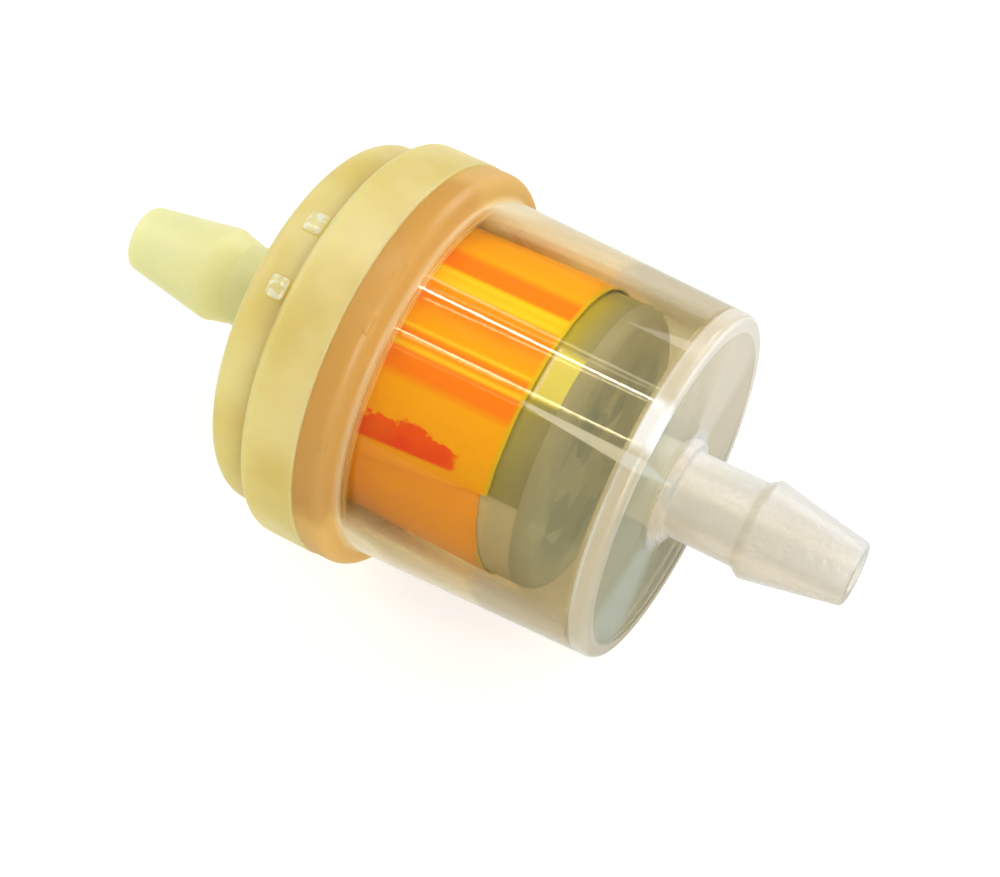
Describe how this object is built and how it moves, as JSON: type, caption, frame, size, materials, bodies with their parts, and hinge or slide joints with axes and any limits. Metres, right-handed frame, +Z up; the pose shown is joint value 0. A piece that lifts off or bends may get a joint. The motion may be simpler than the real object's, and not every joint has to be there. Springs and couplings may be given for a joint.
{
  "type": "in-line fuel filter",
  "caption": "Clear in-line fuel filter with an amber cap, barbed hose spigots at both ends and a mesh element wrapped in orange film.",
  "frame": {"origin": "centre of the overall box, on the hose axis", "axes": "+X along the hose axis from the inlet spigot to the outlet spigot, +Z up as the filter lies on its side"},
  "size_m": [0.065, 0.034, 0.034],
  "materials": {
    "inlet_cap": "milky amber nylon, smooth moulded",
    "filter_bowl": "clear, faintly milky, polished; spigot frosted",
    "element_plastic": "grey-olive moulded nylon",
    "filter_mesh": "fine woven grey nylon mesh",
    "colour_film": "glossy fluorescent orange film"
  },
  "bodies": {
    "root": {"inlet_cap": "inlet_cap", "filter_bowl": "filter_bowl", "element_open_end_cap": "element_plastic", "element_core": "element_plastic", "filter_mesh": "filter_mesh", "mesh_seam_strip": "element_plastic", "colour_film": "colour_film", "element_closed_end_cap": "element_plastic"}
  },
  "joints": []
}
